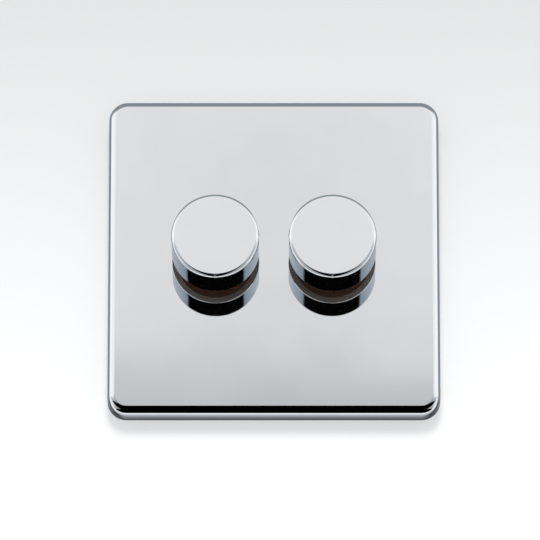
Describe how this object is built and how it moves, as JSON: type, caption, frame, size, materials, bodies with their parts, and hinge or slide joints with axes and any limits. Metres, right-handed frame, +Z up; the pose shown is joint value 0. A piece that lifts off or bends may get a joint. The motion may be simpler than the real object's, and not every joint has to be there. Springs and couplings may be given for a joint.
{
  "type": "rotary dimmer switch",
  "caption": "Square polished screwless wall plate with plain cylindrical dimmer knobs side by side that turn and push, on a steel yoke with dimmer modules and wire clamps behind it.",
  "frame": {"origin": "centre of the plate on the wall surface, midway between the two box screws", "axes": "+X to the right as seen from the room, +Z up, +Y into the wall; the front faces -Y"},
  "size_m": [0.086, 0.0458, 0.086],
  "materials": {
    "plate_chrome": "polished",
    "knob_chrome": "polished",
    "frame_moulding": "fine matt",
    "insert_moulding": "matt",
    "yoke_steel": "zinc plated",
    "screw_steel": "zinc plated",
    "spring_steel": "bright",
    "spindle_aluminium": "turned",
    "bush_brass": "nickel plated",
    "nut_brass": "nickel plated",
    "sink_aluminium": "mill finish",
    "case_moulding": "fine matt",
    "board_laminate": "solder mask",
    "dark_moulding": "matt",
    "rotor_moulding": "smooth",
    "track_carbon": "matt",
    "contact_copper": "bright",
    "device_epoxy": "moulded",
    "capacitor_film": "dipped",
    "choke_iron": "painted iron powder",
    "winding_copper": "enamelled",
    "terminal_brass": "bright"
  },
  "bodies": {
    "wall_unit": {"cover_plate": "plate_chrome", "clip_frame": "frame_moulding", "mounting_yoke": "yoke_steel", "fixing_screws": "screw_steel", "earth_clamp": "terminal_brass", "earth_screw": "screw_steel", "left_bush": "bush_brass", "left_lock_washer": "screw_steel", "left_hex_nut": "nut_brass", "left_heat_sink": "sink_aluminium", "left_case_screws": "screw_steel", "left_rear_case": "case_moulding", "left_circuit_board": "board_laminate", "left_pot_base": "dark_moulding", "left_resistive_track": "track_carbon", "left_switch_base": "dark_moulding", "left_fixed_contacts": "contact_copper", "left_return_spring": "spring_steel", "left_triac": "device_epoxy", "left_capacitor": "capacitor_film", "left_choke_core": "choke_iron", "left_choke_winding": "winding_copper", "left_terminal_clamps": "terminal_brass", "left_terminal_screws": "screw_steel", "right_bush": "bush_brass", "right_lock_washer": "screw_steel", "right_hex_nut": "nut_brass", "right_heat_sink": "sink_aluminium", "right_case_screws": "screw_steel", "right_rear_case": "case_moulding", "right_circuit_board": "board_laminate", "right_pot_base": "dark_moulding", "right_resistive_track": "track_carbon", "right_switch_base": "dark_moulding", "right_fixed_contacts": "contact_copper", "right_return_spring": "spring_steel", "right_triac": "device_epoxy", "right_capacitor": "capacitor_film", "right_choke_core": "choke_iron", "right_choke_winding": "winding_copper", "right_terminal_clamps": "terminal_brass", "right_terminal_screws": "screw_steel"},
    "left_rotor": {"left_rotor": "rotor_moulding", "left_wiper": "contact_copper"},
    "left_knob": {"left_knob_cap": "knob_chrome", "left_knob_insert": "insert_moulding", "left_knob_clip": "spring_steel", "left_spindle": "spindle_aluminium", "left_plunger": "rotor_moulding", "left_contact_ring": "contact_copper"},
    "right_rotor": {"right_rotor": "rotor_moulding", "right_wiper": "contact_copper"},
    "right_knob": {"right_knob_cap": "knob_chrome", "right_knob_insert": "insert_moulding", "right_knob_clip": "spring_steel", "right_spindle": "spindle_aluminium", "right_plunger": "rotor_moulding", "right_contact_ring": "contact_copper"}
  },
  "joints": [
    {"name": "left_turn", "type": "hinge", "parent": "wall_unit", "child": "left_rotor", "pos_m": [-0.01515, 0, 0], "axis": [0, 1, 0], "range_deg": [-145, 145]},
    {"name": "left_push", "type": "slide", "parent": "left_rotor", "child": "left_knob", "axis": [0, 1, 0], "range_m": [0, 0.0008], "stiffness_N_per_m": 2500, "springref_m": -0.001, "deforming": ["left_return_spring"]},
    {"name": "right_turn", "type": "hinge", "parent": "wall_unit", "child": "right_rotor", "pos_m": [0.01515, 0, 0], "axis": [0, 1, 0], "range_deg": [-145, 145]},
    {"name": "right_push", "type": "slide", "parent": "right_rotor", "child": "right_knob", "axis": [0, 1, 0], "range_m": [0, 0.0008], "stiffness_N_per_m": 2500, "springref_m": -0.001, "deforming": ["right_return_spring"]}
  ]
}
